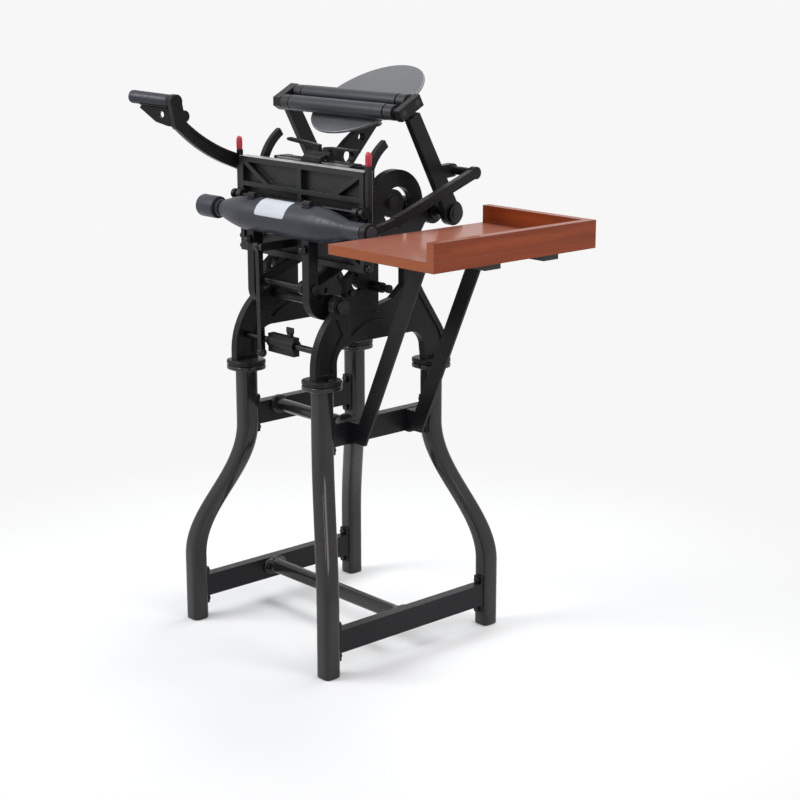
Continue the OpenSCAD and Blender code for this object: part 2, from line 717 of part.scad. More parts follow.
// Drive
CRANK_R = 27;
CRANK_ANGLE = -79.5;
CRANK_IN = 46;
CRANK_OUT = 60;
DRAW_EYE = 8.5;
crank_pin = polar(MAIN, CRANK_R, CRANK_ANGLE);
module draw_bar(s) {
    color(cast) on_stand() side(s) {
        difference() {
            plate_x(CRANK_OUT + 2, CRANK_OUT + 16) {
                taper_2d(DRAW, crank_pin, 22, 2 * DRAW_EYE);
                spot(DRAW, 15);
            }
            bar_x(CRANK_OUT, CRANK_OUT + 20, DRAW, DRAW_D + 2 * run_gap);
        }
        bar_x(CRANK_OUT + 15, CRANK_OUT + 20, crank_pin, 2 * DRAW_EYE - 3);
    }
}
LEVER_X = PLATEN_HALF + 26;
LEVER_T = 14;
ARM_PLANE_IN = 190;
ARM_PLANE_OUT = 206;
module main_shaft() {
    color(steel) on_stand() {
        bar_x(-LEVER_X - LEVER_T / 2 - 5, ARM_PLANE_OUT + 10, MAIN, main_d);
        bar_x(ARM_PLANE_OUT + face_gap, ARM_PLANE_OUT + 8, MAIN, main_d + 14);
        bar_x(-ARM_PLANE_OUT - 16, -ARM_PLANE_OUT - face_gap, MAIN, main_d + 14);
        for (s = [-1, 1]) side(s)
            bar_x(frame_out + 3 + face_gap, frame_out + 12, MAIN, main_d + 14);
    }
}
module cranks() {
    color(cast) on_stand() for (s = [-1, 1]) side(s) difference() {
        plate_x(CRANK_IN, CRANK_OUT) {
            spot(MAIN, 22);
            link_2d(MAIN, crank_pin, 26);
        }
        bar_x(CRANK_IN - 1, CRANK_OUT + 1, MAIN, main_d + 2 * run_gap);
    }
}
LEVER_RISE = 20.8;
LEVER_STRAIGHT = 280;
LEVER_R = 387;
LEVER_SWEEP = 23;
LEVER_TIP = 13;
LEVER_RIM = 6;
LEVER_SINK = 3;
GRIP_DIR = 18;
GRIP_RISE = 3.5;
GRIP_FOOT = [-9, 47];
BOSS_D = 24;
BOSS_H = 6;
WEB_T = 8;
lever_centre = polar(polar(MAIN, LEVER_STRAIGHT, 180 - LEVER_RISE), LEVER_R, 90 - LEVER_RISE);
lever_len = LEVER_STRAIGHT + LEVER_R * LEVER_SWEEP * PI / 180;
lever_end = lever_at(lever_len);
grip_base = lever_end + GRIP_FOOT;

// The lever's middle line runs straight from the main shaft, then bends up in an arc
function lever_past(d) = max(0, d - LEVER_STRAIGHT) / LEVER_R * 180 / PI;
function lever_at(d) = d < LEVER_STRAIGHT ? polar(MAIN, d, 180 - LEVER_RISE)
    : polar(lever_centre, LEVER_R, 270 - LEVER_RISE - lever_past(d));
module lever_strip(from, to, inset) {
    steps = concat([from], [for (i = [0:12]) LEVER_STRAIGHT + (to - LEVER_STRAIGHT) * i / 12]);
    edge = [for (d = steps) lever_w / 2 + (LEVER_TIP - lever_w / 2) * d / lever_len - inset];
    polygon(concat(
        [for (i = [0:13]) polar(lever_at(steps[i]), edge[i], 90 - LEVER_RISE - lever_past(steps[i]))],
        [for (i = [13:-1:0]) polar(lever_at(steps[i]), -edge[i],
            90 - LEVER_RISE - lever_past(steps[i]))]));
}
module on_grip() {
    translate([-LEVER_X - LEVER_T / 2, grip_base[0], grip_base[1]]) rotate([0, 0, GRIP_DIR])
        rotate([0, GRIP_RISE - 90, 0]) children();
}
module lever_arm() {
    color(cast) on_stand() difference() {
        union() {
            plate_x(-LEVER_X - LEVER_T / 2, -LEVER_X + LEVER_T / 2) {
                lever_strip(0, lever_len, 0);
                spot(MAIN, 27);
                bar_2d(lever_end, grip_base, 28);
                spot(lever_end, 14.6);
                spot(grip_base, 15.5);
                spot(lever_end + [11, 15], 13);
            }
            on_grip() {
                cylinder(d = BOSS_D, h = BOSS_H);
                translate([0, WEB_T / 2, 0]) rotate([90, 0, 0]) linear_extrude(WEB_T) difference() {
                    polygon([[-16, -6], [-16, 80], [-21, 84], [-47, 40], [-53, 8], [-53, -6]]);
                    translate([-30, 26]) circle(r = 7);
                }
            }
        }
        for (x = [LEVER_SINK - LEVER_T / 2 - 10, LEVER_T / 2 - LEVER_SINK])
            plate_x(x - LEVER_X, x - LEVER_X + 10) lever_strip(44, lever_len - 26, LEVER_RIM);
        bar_x(-LEVER_X - 20, -LEVER_X + 20, MAIN, main_d + 2 * run_gap);
    }
}
module lever_grip() {
    r = grip_d / 2;
    color(cast) on_stand() on_grip() translate([0, 0, BOSS_H]) rotate_extrude() polygon(concat(
        [[0, 0], [r - 3, 0], [r - 1, 3], [r, 14], [r, grip_len - 16]],
        arc([r - 8, grip_len - 8], 8, 0, 90, 6), [[0, grip_len]]));
}

// Roller gear
ARM_ANGLE = 118.5;
ROLLER_STEP = 4.55;
ROLLER_RAD = 259;
ARM_END = 238;
STEM_D = 9;
STEM_LOW = 182;
AXLE_D = 12;
TRUCK_IN = 155;
TRUCK_OUT = 180;
lower_axle = polar(MAIN, ROLLER_RAD, ARM_ANGLE + ROLLER_STEP);
upper_axle = polar(MAIN, ROLLER_RAD, ARM_ANGLE - ROLLER_STEP);
saddle_mid = (lower_axle + upper_axle) / 2;

module link_outline(w, eye, bend_at) {
    link_2d(BAR, bend_at, w);
    link_2d(bend_at, LINK_TOP, w + 4);
    spot(BAR, eye);
    spot(bend_at, 12);
    spot(LINK_TOP, 13);
}
module roller_link_left() {
    color(cast) on_stand() difference() {
        plate_x(-LINK_LEFT_IN - LINK_LEFT_T, -LINK_LEFT_IN) link_outline(10, JOURNAL_R + 6, LINK_BEND);
        bar_x(-LEVER_X, -LINK_LEFT_IN + 5, BAR, 2 * (JOURNAL_R + run_gap));
    }
}
module roller_link_right() {
    color(cast) on_stand() difference() {
        plate_x(LINK_RIGHT_IN, LINK_RIGHT_IN + LINK_RIGHT_T) link_outline(16, 20, LINK_BEND_RIGHT);
        bar_x(250, 290, BAR, 2 * (LINK_PIN_R + run_gap));
    }
}
module along_arm(r) {
    translate([0, MAIN[0], MAIN[1]]) rotate([ARM_ANGLE - 90, 0, 0]) translate([0, 0, r])
        children();
}
module roller_arm_shape() {
    difference() {
        plate_x(ARM_PLANE_IN, ARM_PLANE_OUT) {
            spot(MAIN, 26);
            translate(MAIN) rotate(ARM_ANGLE)
                polygon([[0, -19], [ARM_END, -16], [ARM_END, 16], [0, 19]]);
            link_2d(polar(MAIN, 100, ARM_ANGLE), LINK_TOP, 28);
        }
        bar_x(ARM_PLANE_IN - 1, ARM_PLANE_OUT + 1, MAIN, main_d + 2 * run_gap);
        translate([(ARM_PLANE_IN + ARM_PLANE_OUT) / 2, 0, 0]) along_arm(STEM_LOW - 2)
            cylinder(d = STEM_D + 2 * run_gap, h = 80);
    }
}
module roller_arm_left() {
    color(cast) on_stand() side(-1) {
        roller_arm_shape();
        bar_x(ARM_PLANE_OUT - 1, LINK_LEFT_IN - 1.5, LINK_TOP, 22);
    }
}
module roller_arm_right() {
    color(cast) on_stand() {
        roller_arm_shape();
        bar_x(ARM_PLANE_OUT - 1, LINK_RIGHT_IN - 1.5, LINK_TOP, 18);
    }
}
module saddle_stem() {
    translate([(ARM_PLANE_IN + ARM_PLANE_OUT) / 2, 0, 0]) along_arm(STEM_LOW)
        cylinder(d = STEM_D, h = ROLLER_RAD - STEM_LOW - 12);
}
module axle_holes() {
    for (p = [lower_axle, upper_axle])
        bar_x(TRUCK_OUT, ARM_PLANE_OUT + 1, p, AXLE_D + 2 * run_gap);
}
module saddle_left() {
    color(cast) on_stand() side(-1) difference() {
        union() {
            plate_x(TRUCK_OUT + 2, ARM_PLANE_OUT) intersection() {
                translate(saddle_mid) rotate(ARM_ANGLE - 90) circle(r = 38, $fn = 6);
                translate(saddle_mid) rotate(ARM_ANGLE - 90) square([80, 32], center = true);
            }
            saddle_stem();
        }
        axle_holes();
    }
}
module saddle_right() {
    color(cast) on_stand() difference() {
        union() {
            plate_x(ARM_PLANE_IN, ARM_PLANE_OUT)
                translate(saddle_mid) rotate(ARM_ANGLE - 90) square([66, 26], center = true);
            saddle_stem();
        }
        axle_holes();
    }
}
module roller(p) {
    color(rubber) on_stand() bar_x(-roller_half, roller_half, p, roller_d);
    color(steel) on_stand() {
        bar_x(-ARM_PLANE_OUT, ARM_PLANE_OUT, p, AXLE_D);
        for (s = [-1, 1]) side(s) {
            bar_x(TRUCK_IN, TRUCK_OUT, p, roller_d - 1);
            bar_x(roller_half - 1, TRUCK_OUT + 1, p, AXLE_D + 6);
        }
    }
}

// Feed board
BOARD_X = 280;
BOARD_Y = -261;
BOARD_Z = 925;
RUNNER_H = 18;
LEAN = 0.455;
LEAN_X = 152;
LEAN_Z = 467;
bracket_front = -93;
bracket_rear = 68;
board_under = BOARD_Z - board_t;
bracket_top = board_under - RUNNER_H;
stretcher_out = LEG_TOP_X / 2 + stretch_t / 2;
function lean_x(z) = LEAN_X + LEAN * (z - LEAN_Z);
function lean_deep(t) = t * sqrt(1 + LEAN * LEAN);

module board_floor() {
    color(board_red) on_stand() translate([BOARD_X, BOARD_Y, board_under]) cube([board_w, board_l, board_t]);
}
module board_side() {
    color(board_red) on_stand() translate([BOARD_X + board_w - rim_t, BOARD_Y, BOARD_Z])
        cube([rim_t, board_l, rim_h]);
}
module board_back() {
    color(board_red) on_stand() translate([BOARD_X, BOARD_Y + board_l - rim_t, BOARD_Z])
        cube([board_w - rim_t, rim_t, rim_h]);
}
module lean_2d(t) {
    w = lean_deep(t);
    polygon([[lean_x(LEAN_Z), LEAN_Z], [lean_x(bracket_top), bracket_top],
        [lean_x(bracket_top) + w, bracket_top], [lean_x(LEAN_Z) + w, LEAN_Z]]);
}
module board_bracket(y) {
    color(cast) on_stand() {
        plate_y(y, y + angle_w) lean_2d(angle_t);
        plate_y(y, y + angle_t) lean_2d(angle_w);
        plate_y(y, y + angle_w) polygon([[stretcher_out, LEAN_Z - 6], [LEAN_X + 2, LEAN_Z - 6],
            [LEAN_X + 6, LEAN_Z], [LEAN_X + 26, SEAT_Z + 24], [stretcher_out, SEAT_Z + 24]]);
        translate([lean_x(bracket_top) - 20, y, bracket_top - angle_t])
            cube([90, angle_w, angle_t]);
    }
}
module board_runners() {
    color(board_red) on_stand() for (y = [bracket_front, bracket_rear])
        translate([BOARD_X + 20, y - 3, bracket_top]) cube([board_w - 53, angle_w + 6, RUNNER_H]);
}

leg(-1, -1);  // leg_front_left
leg(1, -1);  // leg_front_right
leg(-1, 1);  // leg_rear_left
leg(1, 1);  // leg_rear_right
stretcher(-1, LEG_TOP_X / 2, high_half, HIGH_Z);  // upper_stretcher_left
stretcher(1, LEG_TOP_X / 2, high_half, HIGH_Z);  // upper_stretcher_right
stretcher(-1, foot_x / 2, low_half, LOW_Z);  // lower_stretcher_left
stretcher(1, foot_x / 2, low_half, LOW_Z);  // lower_stretcher_right
centre_bar();
upper_cross_tube();
stand_bolts();
flange_bolts();
side_frame(-1);  // side_frame_left
side_frame(1);  // side_frame_right
bed();
head_shaft();
lower_rod();
rod_clamp();
thumbscrew();
buffer_stud();
frame_bolts();
roller_rail(-1);  // roller_rail_left
roller_rail(1);  // roller_rail_right
chase();
chase_latch();
disk_bracket();
ink_disk();
disk_ratchet();
rocker_shaft();
rocker_arm(-1);  // rocker_arm_left
rocker_arm(1);  // rocker_arm_right
draw_pin();
impression_bar();
platen();
impression_screws();
gripper_shaft();
gripper(-1);  // gripper_left
gripper(1);  // gripper_right
gripper_tips();
pull_rod();
draw_bar(-1);  // draw_bar_left
draw_bar(1);  // draw_bar_right
main_shaft();
cranks();
lever_arm();
lever_grip();
roller_link_left();
roller_link_right();
roller_arm_left();
roller_arm_right();
saddle_left();
saddle_right();
roller(upper_axle);  // upper_roller
roller(lower_axle);  // lower_roller
board_floor();
board_side();
board_back();
board_bracket(bracket_front);  // board_bracket_front
board_bracket(bracket_rear);  // board_bracket_rear
board_runners();
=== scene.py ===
"""Looks of the hand-lever letterpress: enamel, steel, rubber, ink disk and lacquered feed board."""

import json
import math

import bmesh
import bpy
import numpy as np
from mathutils import Matrix, Vector


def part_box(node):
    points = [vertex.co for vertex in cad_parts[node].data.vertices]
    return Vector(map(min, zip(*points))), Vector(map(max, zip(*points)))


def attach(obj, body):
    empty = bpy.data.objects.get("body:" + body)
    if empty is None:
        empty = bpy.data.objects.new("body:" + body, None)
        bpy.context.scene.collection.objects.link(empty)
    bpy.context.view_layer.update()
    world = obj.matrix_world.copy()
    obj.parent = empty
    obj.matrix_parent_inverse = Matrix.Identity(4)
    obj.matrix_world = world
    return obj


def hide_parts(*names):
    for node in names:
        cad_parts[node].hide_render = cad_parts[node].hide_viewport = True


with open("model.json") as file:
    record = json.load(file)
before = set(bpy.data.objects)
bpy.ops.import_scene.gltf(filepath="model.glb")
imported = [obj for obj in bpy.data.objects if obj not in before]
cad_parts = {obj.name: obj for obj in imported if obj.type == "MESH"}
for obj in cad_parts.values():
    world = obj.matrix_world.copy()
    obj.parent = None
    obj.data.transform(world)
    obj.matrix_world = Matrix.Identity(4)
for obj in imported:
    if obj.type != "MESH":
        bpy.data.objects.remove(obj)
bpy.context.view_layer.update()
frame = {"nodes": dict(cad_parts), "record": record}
nodes = frame["nodes"]

# Sizes and places in metres. A place is worked out from a node's box in the frame where the box
# tells it, and is otherwise repeated from the part's source, as the sizes are.
# The impression bar: its radii, Y and Z of its axis, X of its ends, and its taper's span along X.
BAR_R = 0.0375
NECK_R = 0.0185
bar_low, bar_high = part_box("impression_bar")
BAR = (bar_high.y - BAR_R, bar_low.z + BAR_R)
BAR_ENDS = (bar_low.x, bar_high.x)
TAPER = (0.106, 0.205)
# A leg: half its thickness, half the width and the thickness of its flange, half the width of the
# rounded collar drawn in the flange's place, X and Y of the leg's middle at the top and at the
# foot, and the heights of its top and bend.
LEG_HALF = 0.020
FLANGE_HALF = 0.032
FLANGE_T = 0.011
COLLAR_HALF = 0.0375
leg_low, leg_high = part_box("leg_rear_right")
LEG_TOP = (leg_low.x + FLANGE_HALF, leg_low.y + FLANGE_HALF)
LEG_FOOT = (leg_high.x - LEG_HALF, leg_high.y - LEG_HALF)
LEG_TOP_Z = leg_high.z - FLANGE_T
LEG_BEND = (0.150, 0.470)
# The hand grip: the start and direction of its axis, its radius, and where it lies along it.
GRIP_BASE = (-0.238, -0.2532, 1.1659)
GRIP_AXIS = (-0.9493, -0.3084, 0.0610)
GRIP_R = 0.0145
GRIP_SPAN = (0.006, 0.1088)
# The foot of the right finger's cap, and Y and Z of the low tie's middle.
TIP_HALF = 0.006
tip_low, tip_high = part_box("gripper_tips")
TIP = (tip_high.x - TIP_HALF, (tip_low.y + tip_high.y) / 2, tip_low.z + 0.0001)
tie_low, tie_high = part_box("centre_bar")
TIE = ((tie_low.y + tie_high.y) / 2, (tie_low.z + tie_high.z) / 2)
# Faces that carry nuts, and faces that a finish ends at.
FRAME_FACE = 0.143
arm_low, arm_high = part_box("rocker_arm_right")
ARM_FRONT = ((arm_low.x + arm_high.x) / 2, arm_low.y, 0.880)
PLATEN_EDGE, PLATEN_FACE, PLATEN_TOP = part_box("platen")[1]
ROLLER_HALF = 0.152
board_low, board_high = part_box("board_floor")
BOARD_FRONT = board_low.y
BOARD_TOP = board_high.z
# The ink disk: its middle, and its tilt about X.
DISK = (0.0, 0.085, 1.170)
DISK_TILT = math.radians(29.3)


# Mesh from arrays

def grid_piece(name, patches, wrap=False):
    """A smooth surface from (m, n, 3) arrays: each cell of a grid is one quad, and where wrap is
    set the last column joins the first and each pole, a ring of no radius, is merged to a point."""
    points, quads, first = [], [], 0
    for patch in patches:
        m, n, _ = patch.shape
        i, j = np.meshgrid(np.arange(m - 1), np.arange(n if wrap else n - 1), indexing="ij")
        j2 = (j + 1) % n
        cells = np.stack([i * n + j, i * n + j2, (i + 1) * n + j2, (i + 1) * n + j], -1)
        quads.append(cells.reshape(-1, 4) + first)
        points.append(patch.reshape(-1, 3))
        first += m * n
    mesh = bpy.data.meshes.new(name)
    mesh.from_pydata(np.concatenate(points).tolist(), [], np.concatenate(quads).tolist())
    if wrap:
        shell = bmesh.new()
        shell.from_mesh(mesh)
        bmesh.ops.remove_doubles(shell, verts=shell.verts, dist=1e-6)
        bmesh.ops.recalc_face_normals(shell, faces=shell.faces)
        shell.to_mesh(mesh)
        shell.free()
    mesh.polygons.foreach_set("use_smooth", np.ones(len(mesh.polygons), bool))
    mesh.update()
    piece = bpy.data.objects.new(name, mesh)
    bpy.context.scene.collection.objects.link(piece)
    return piece


def round_profile(corners, radius, steps):
    """A profile of (r, h) corners with each inner corner rounded: the corner is cut back by radius
    along both sides, and a quadratic arc through the corner joins the two cuts."""
    corners = np.asarray(corners, float)
    out = [corners[0]]
    t = np.linspace(0, 1, steps)[:, None]
    for before, here, after in zip(corners[:-2], corners[1:-1], corners[2:]):
        back, on = before - here, after - here
        reach = min(radius, 0.45 * np.linalg.norm(back), 0.45 * np.linalg.norm(on))
        a = here + back / np.linalg.norm(back) * reach
        b = here + on / np.linalg.norm(on) * reach
        out.extend((1 - t) ** 2 * a + 2 * t * (1 - t) * here + t ** 2 * b)
    out.append(corners[-1])
    return np.array(out)


def rings_along(profile, around, power=2.0):
    """A ring per (r, h) of the profile, round where power is 2 and squarer as it grows: the
    superellipse (r |cos t|^(2/power), r |sin t|^(2/power)) with the signs kept, at height h."""
    t = np.linspace(0, 2 * np.pi, around, endpoint=False)
    c, s = np.cos(t), np.sin(t)
    x = np.sign(c) * np.abs(c) ** (2 / power)
    y = np.sign(s) * np.abs(s) ** (2 / power)
    r, h = profile[:, 0, None], profile[:, 1, None]
    return np.stack([r * x, r * y, h + 0 * t], -1)


def placed(points, origin, z_axis, x_hint=(0, 0, 1)):
    """Turns points so that their Z runs along z_axis, then moves them to origin."""
    z = np.asarray(z_axis, float)
    z = z / np.linalg.norm(z)
    x = np.cross(np.asarray(x_hint, float), z)
    x = x / np.linalg.norm(x)
    turn = np.stack([x, np.cross(z, x), z])
    return points @ turn + np.asarray(origin, float)


def thicken(piece, name, thickness, offset):
    wall = piece.modifiers.new(name, "SOLIDIFY")
    wall.thickness = thickness
    wall.offset = offset


# Shader nodes

def new_group(name, sockets_in, sockets_out):
    group = bpy.data.node_groups.new(name, "ShaderNodeTree")
    for label, value in sockets_in.items():
        socket = group.interface.new_socket(label, in_out="INPUT", socket_type="NodeSocketFloat")
        socket.default_value = value
    for label, kind in sockets_out.items():
        group.interface.new_socket(label, in_out="OUTPUT", socket_type=kind)
    return group, group.nodes.new("NodeGroupInput"), group.nodes.new("NodeGroupOutput")


def add(tree, kind, values=None, **props):
    node = tree.nodes.new(kind)
    for key, value in props.items():
        setattr(node, key, value)
    for key, value in (values or {}).items():
        node.inputs[key].default_value = value
    return node


def math_node(tree, operation, a, b=None, clamp=False):
    node = add(tree, "ShaderNodeMath", operation=operation, use_clamp=clamp)
    for index, value in enumerate((a, b)):
        if value is None:
            continue
        if isinstance(value, (int, float)):
            node.inputs[index].default_value = value
        else:
            tree.links.new(value, node.inputs[index])
    return node.outputs[0]


def mix_colour(tree, factor, a, b):
    node = add(tree, "ShaderNodeMix", data_type="RGBA")
    sockets = node.inputs["Factor"], node.inputs[6], node.inputs[7]
    for socket, value in zip(sockets, (factor, a, b)):
        if isinstance(value, tuple):
            socket.default_value = (*value, 1.0)
        else:
            tree.links.new(value, socket)
    return node.outputs[2]


def lay_over(tree, mask, share, base, colour):
    """The colour over the base, as strongly as the mask says, up to the share given."""
    return mix_colour(tree, math_node(tree, "MULTIPLY", mask, share), base, colour)


def ramp(tree, factor, low, high, out_low=0.0, out_high=1.0):
    """The factor's span from low to high, drawn out to that from out_low to out_high and cut."""
    node = add(tree, "ShaderNodeMapRange", clamp=True)
    for index, value in enumerate((low, high, out_low, out_high)):
        node.inputs[index + 1].default_value = value
    tree.links.new(factor, node.inputs[0])
    return node.outputs[0]


def object_coords(tree):
    return add(tree, "ShaderNodeTexCoord").outputs["Object"]


def along_axis(tree, axis):
    split = add(tree, "ShaderNodeSeparateXYZ")
    tree.links.new(object_coords(tree), split.inputs[0])
    return split.outputs[axis]


def stretched(tree, scale):
    """The object's coordinates, each axis scaled."""
    mapping = add(tree, "ShaderNodeMapping", {"Scale": scale})
    tree.links.new(object_coords(tree), mapping.inputs["Vector"])
    return mapping.outputs[0]


def noise(tree, vector, **values):
    node = add(tree, "ShaderNodeTexNoise", values)
    tree.links.new(vector, node.inputs["Vector"])
    return node.outputs["Fac"]


def edge_group():
    """Worn edges, partly painted highlights on the rims: one minus the dot product of a rounded
    normal and the true normal, broken up by noise."""
    group, given, result = new_group("rubbed_highlit_edges", {"Radius": 0.0015, "Break": 60.0},
                                     {"Mask": "NodeSocketFloat", "Normal": "NodeSocketVector"})
    bevel = add(group, "ShaderNodeBevel", samples=4)
    group.links.new(given.outputs["Radius"], bevel.inputs["Radius"])
    geometry = add(group, "ShaderNodeNewGeometry")
    dot = add(group, "ShaderNodeVectorMath", operation="DOT_PRODUCT")
    group.links.new(bevel.outputs[0], dot.inputs[0])
    group.links.new(geometry.outputs["True Normal"], dot.inputs[1])
    # the rim mask: rubbed wear and a painted highlight along the edges at once
    edge = ramp(group, math_node(group, "SUBTRACT", 1.0, dot.outputs["Value"]), 0.05, 0.22)
    broken = noise(group, object_coords(group), Detail=4.0, Roughness=0.65)
    group.links.new(given.outputs["Break"], broken.node.inputs["Scale"])
    patches = ramp(group, broken, 0.45, 0.62)
    group.links.new(math_node(group, "MULTIPLY", edge, patches), result.inputs["Mask"])
    group.links.new(bevel.outputs[0], result.inputs["Normal"])
    return group


def skin_group():
    """Cast and brushed skins: fine and coarse noise as a height, the coarse noise drawn out as
    patches, and a slow noise as a tint."""
    kind = "NodeSocketFloat"
    group, given, result = new_group("cast_skin", {"Fine": 900.0, "Coarse": 90.0},
                                     {"Height": kind, "Tint": kind, "Patch": kind})
    coords = object_coords(group)
    fine = noise(group, coords, Detail=2.0)
    coarse = noise(group, coords, Detail=5.0, Roughness=0.55)
    slow = noise(group, coords, Scale=9.0, Detail=3.0)
    group.links.new(given.outputs["Fine"], fine.node.inputs["Scale"])
    group.links.new(given.outputs["Coarse"], coarse.node.inputs["Scale"])
    height = math_node(group, "ADD", math_node(group, "MULTIPLY", fine, 0.35),
                       math_node(group, "MULTIPLY", coarse, 0.65))
    group.links.new(height, result.inputs["Height"])
    group.links.new(slow, result.inputs["Tint"])
    group.links.new(ramp(group, coarse, 0.42, 0.62), result.inputs["Patch"])
    return group


def dust_group():
    """Settled dust: how far the normal points up, from 0.55 to 1, thinned by noise."""
    group, given, result = new_group("settled_dust", {"Amount": 0.2}, {"Mask": "NodeSocketFloat"})
    geometry = add(group, "ShaderNodeNewGeometry")
    split = add(group, "ShaderNodeSeparateXYZ")
    group.links.new(geometry.outputs["Normal"], split.inputs[0])
    up = ramp(group, split.outputs["Z"], 0.55, 1.0)
    grains = noise(group, object_coords(group), Scale=45.0, Detail=6.0, Roughness=0.7)
    specks = ramp(group, grains, 0.4, 0.75, 0.25, 1.0)
    thinned = math_node(group, "MULTIPLY", up, specks)
    dust = math_node(group, "MULTIPLY", thinned, given.outputs["Amount"])
    group.links.new(dust, result.inputs["Mask"])
    return group


EDGES, SKIN, DUST = edge_group(), skin_group(), dust_group()


def use_group(tree, group, **values):
    return add(tree, "ShaderNodeGroup", values, node_tree=group).outputs


def new_material(name):
    material = bpy.data.materials.new(name)
    material.use_nodes = True
    tree = material.node_tree
    tree.nodes.clear()
    shader = add(tree, "ShaderNodeBsdfPrincipled")
    output = add(tree, "ShaderNodeOutputMaterial")
    tree.links.new(shader.outputs[0], output.inputs["Surface"])
    return material, tree, shader


def finish_shader(tree, shader, base, rough, constants=None):
    """Joins colour and roughness to the shader and sets its other inputs."""
    tree.links.new(base, shader.inputs["Base Color"])
    tree.links.new(rough, shader.inputs["Roughness"])
    for label, value in (constants or {}).items():
        shader.inputs[label].default_value = value


def bump_to(tree, shader, height, normal, strength, distance):
    bump = add(tree, "ShaderNodeBump", {"Strength": strength, "Distance": distance})
    tree.links.new(height, bump.inputs["Height"])
    if normal is not None:
        tree.links.new(normal, bump.inputs["Normal"])
    tree.links.new(bump.outputs[0], shader.inputs["Normal"])


def shade(colour, share, lift=0.0):
    return tuple(c * share + lift for c in colour)


# Materials

def enamel(name, colour, worn_highlit, rough, fine, coarse, grain, edge, dust, spec, coat=0.0):
    """Machine enamel over a casting: colour varied slowly, rubbed edges that also carry a painted
    highlight, dust on top faces.
    """
    material, tree, shader = new_material(name)
    dust_grey = (0.33, 0.31, 0.29)
    skin = use_group(tree, SKIN, Fine=fine, Coarse=coarse)
    edges = use_group(tree, EDGES, Radius=edge, Break=70.0)
    lying = use_group(tree, DUST, Amount=dust)["Mask"]
    base = mix_colour(tree, skin["Tint"], colour, shade(colour, 1.5, 0.004))
    # rubbed edges painted paler: partly wear, partly a painted highlight on the rims
    base = lay_over(tree, edges["Mask"], 0.55, base, worn_highlit)
    base = mix_colour(tree, lying, base, dust_grey)
    patchy = ramp(tree, skin["Patch"], 0.0, 1.0, rough, rough + 0.12)
    finish_shader(tree, shader, base, math_node(tree, "ADD", patchy, lying, clamp=True),
                  {"Specular IOR Level": spec, "Coat Weight": coat, "Coat Roughness": 0.11})
    bump_to(tree, shader, skin["Height"], edges["Normal"], strength=grain, distance=0.0012)
    return material


def steel(name, colour, rough, streak):
    """Turned or ground steel: metal with streaks of noise stretched along X."""
    material, tree, shader = new_material(name)
    grain = noise(tree, stretched(tree, streak), Scale=40.0, Detail=5.0, Roughness=0.6)
    skin = use_group(tree, SKIN, Fine=700.0, Coarse=60.0)
    edges = use_group(tree, EDGES, Radius=0.0008, Break=90.0)
    base = mix_colour(tree, ramp(tree, grain, 0.3, 0.7), shade(colour, 0.62), colour)
    base = lay_over(tree, skin["Patch"], 0.25, base, shade(colour, 0.45))
    finish_shader(tree, shader, base, ramp(tree, skin["Patch"], 0.0, 1.0, rough, rough + 0.15),
                  {"Metallic": 1.0})
    bump_to(tree, shader, grain, edges["Normal"], strength=0.12, distance=0.0006)
    return material


def turned_disk(name, colour):
    """Ink disk: rings of the lathe tool, the sine of 4200 times the distance from the spindle, and
    a slow stain of dried ink."""
    material, tree, shader = new_material(name)
    ring_rate, worn_highlit_rim = 4200.0, (0.45, 0.45, 0.46)
    mapping = add(tree, "ShaderNodeMapping", {"Location": DISK, "Rotation": (DISK_TILT, 0, 0)},
                  vector_type="TEXTURE")
    tree.links.new(object_coords(tree), mapping.inputs["Vector"])
    flat = add(tree, "ShaderNodeVectorMath", {1: (1, 1, 0)}, operation="MULTIPLY")
    tree.links.new(mapping.outputs[0], flat.inputs[0])
    radius = add(tree, "ShaderNodeVectorMath", operation="LENGTH")
    tree.links.new(flat.outputs[0], radius.inputs[0])
    turns = math_node(tree, "MULTIPLY", radius.outputs["Value"], ring_rate)
    rings = math_node(tree, "SINE", turns)
    skin = use_group(tree, SKIN, Fine=500.0, Coarse=35.0)
    edges = use_group(tree, EDGES, Radius=0.001, Break=80.0)
    base = mix_colour(tree, skin["Tint"], shade(colour, 0.7), colour)
    # rim painted bright: partly rubbed steel, partly a painted highlight on the edges
    base = lay_over(tree, edges["Mask"], 0.8, base, worn_highlit_rim)
    finish_shader(tree, shader, base, ramp(tree, skin["Patch"], 0.0, 1.0, 0.42, 0.56),
                  {"Metallic": 0.35})
    bump_to(tree, shader, rings, edges["Normal"], strength=0.08, distance=0.0004)
    return material


def roller_finish(name):
    """Roller: smooth dark rubber between its ends, a painted shade line at each end where the
    rubber meets the truck, and the dull steel of axle and trucks beyond them."""
    material, tree, shader = new_material(name)
    gap_shade_at, gap_shade_half = ROLLER_HALF + 0.0012, 0.0013
    dark_rubber, worn_rubber = (0.012, 0.0138, 0.0178), (0.025, 0.028, 0.036)
    truck_steel, shadow = (0.022, 0.022, 0.025), (0.003, 0.003, 0.003)
    along = math_node(tree, "ABSOLUTE", along_axis(tree, "X"))
    beyond = math_node(tree, "GREATER_THAN", along, ROLLER_HALF + 0.0003)
    skin = use_group(tree, SKIN, Fine=1200.0, Coarse=150.0)
    edges = use_group(tree, EDGES, Radius=0.0015, Break=60.0)
    base = mix_colour(tree, skin["Tint"], dark_rubber, worn_rubber)
    base = mix_colour(tree, beyond, base, truck_steel)
    # painted shade: a thin dark ring in the gap where the rubber meets the truck
    gap_shade = math_node(tree, "COMPARE", along, gap_shade_at)
    gap_shade.node.inputs[2].default_value = gap_shade_half
    base = mix_colour(tree, gap_shade, base, shadow)
    finish_shader(tree, shader, base, ramp(tree, skin["Patch"], 0.0, 1.0, 0.30, 0.40),
                  {"Specular IOR Level": 0.36})
    tree.links.new(math_node(tree, "MULTIPLY", beyond, 0.25), shader.inputs["Metallic"])
    bump_to(tree, shader, skin["Height"], edges["Normal"], strength=0.08, distance=0.0005)
    return material


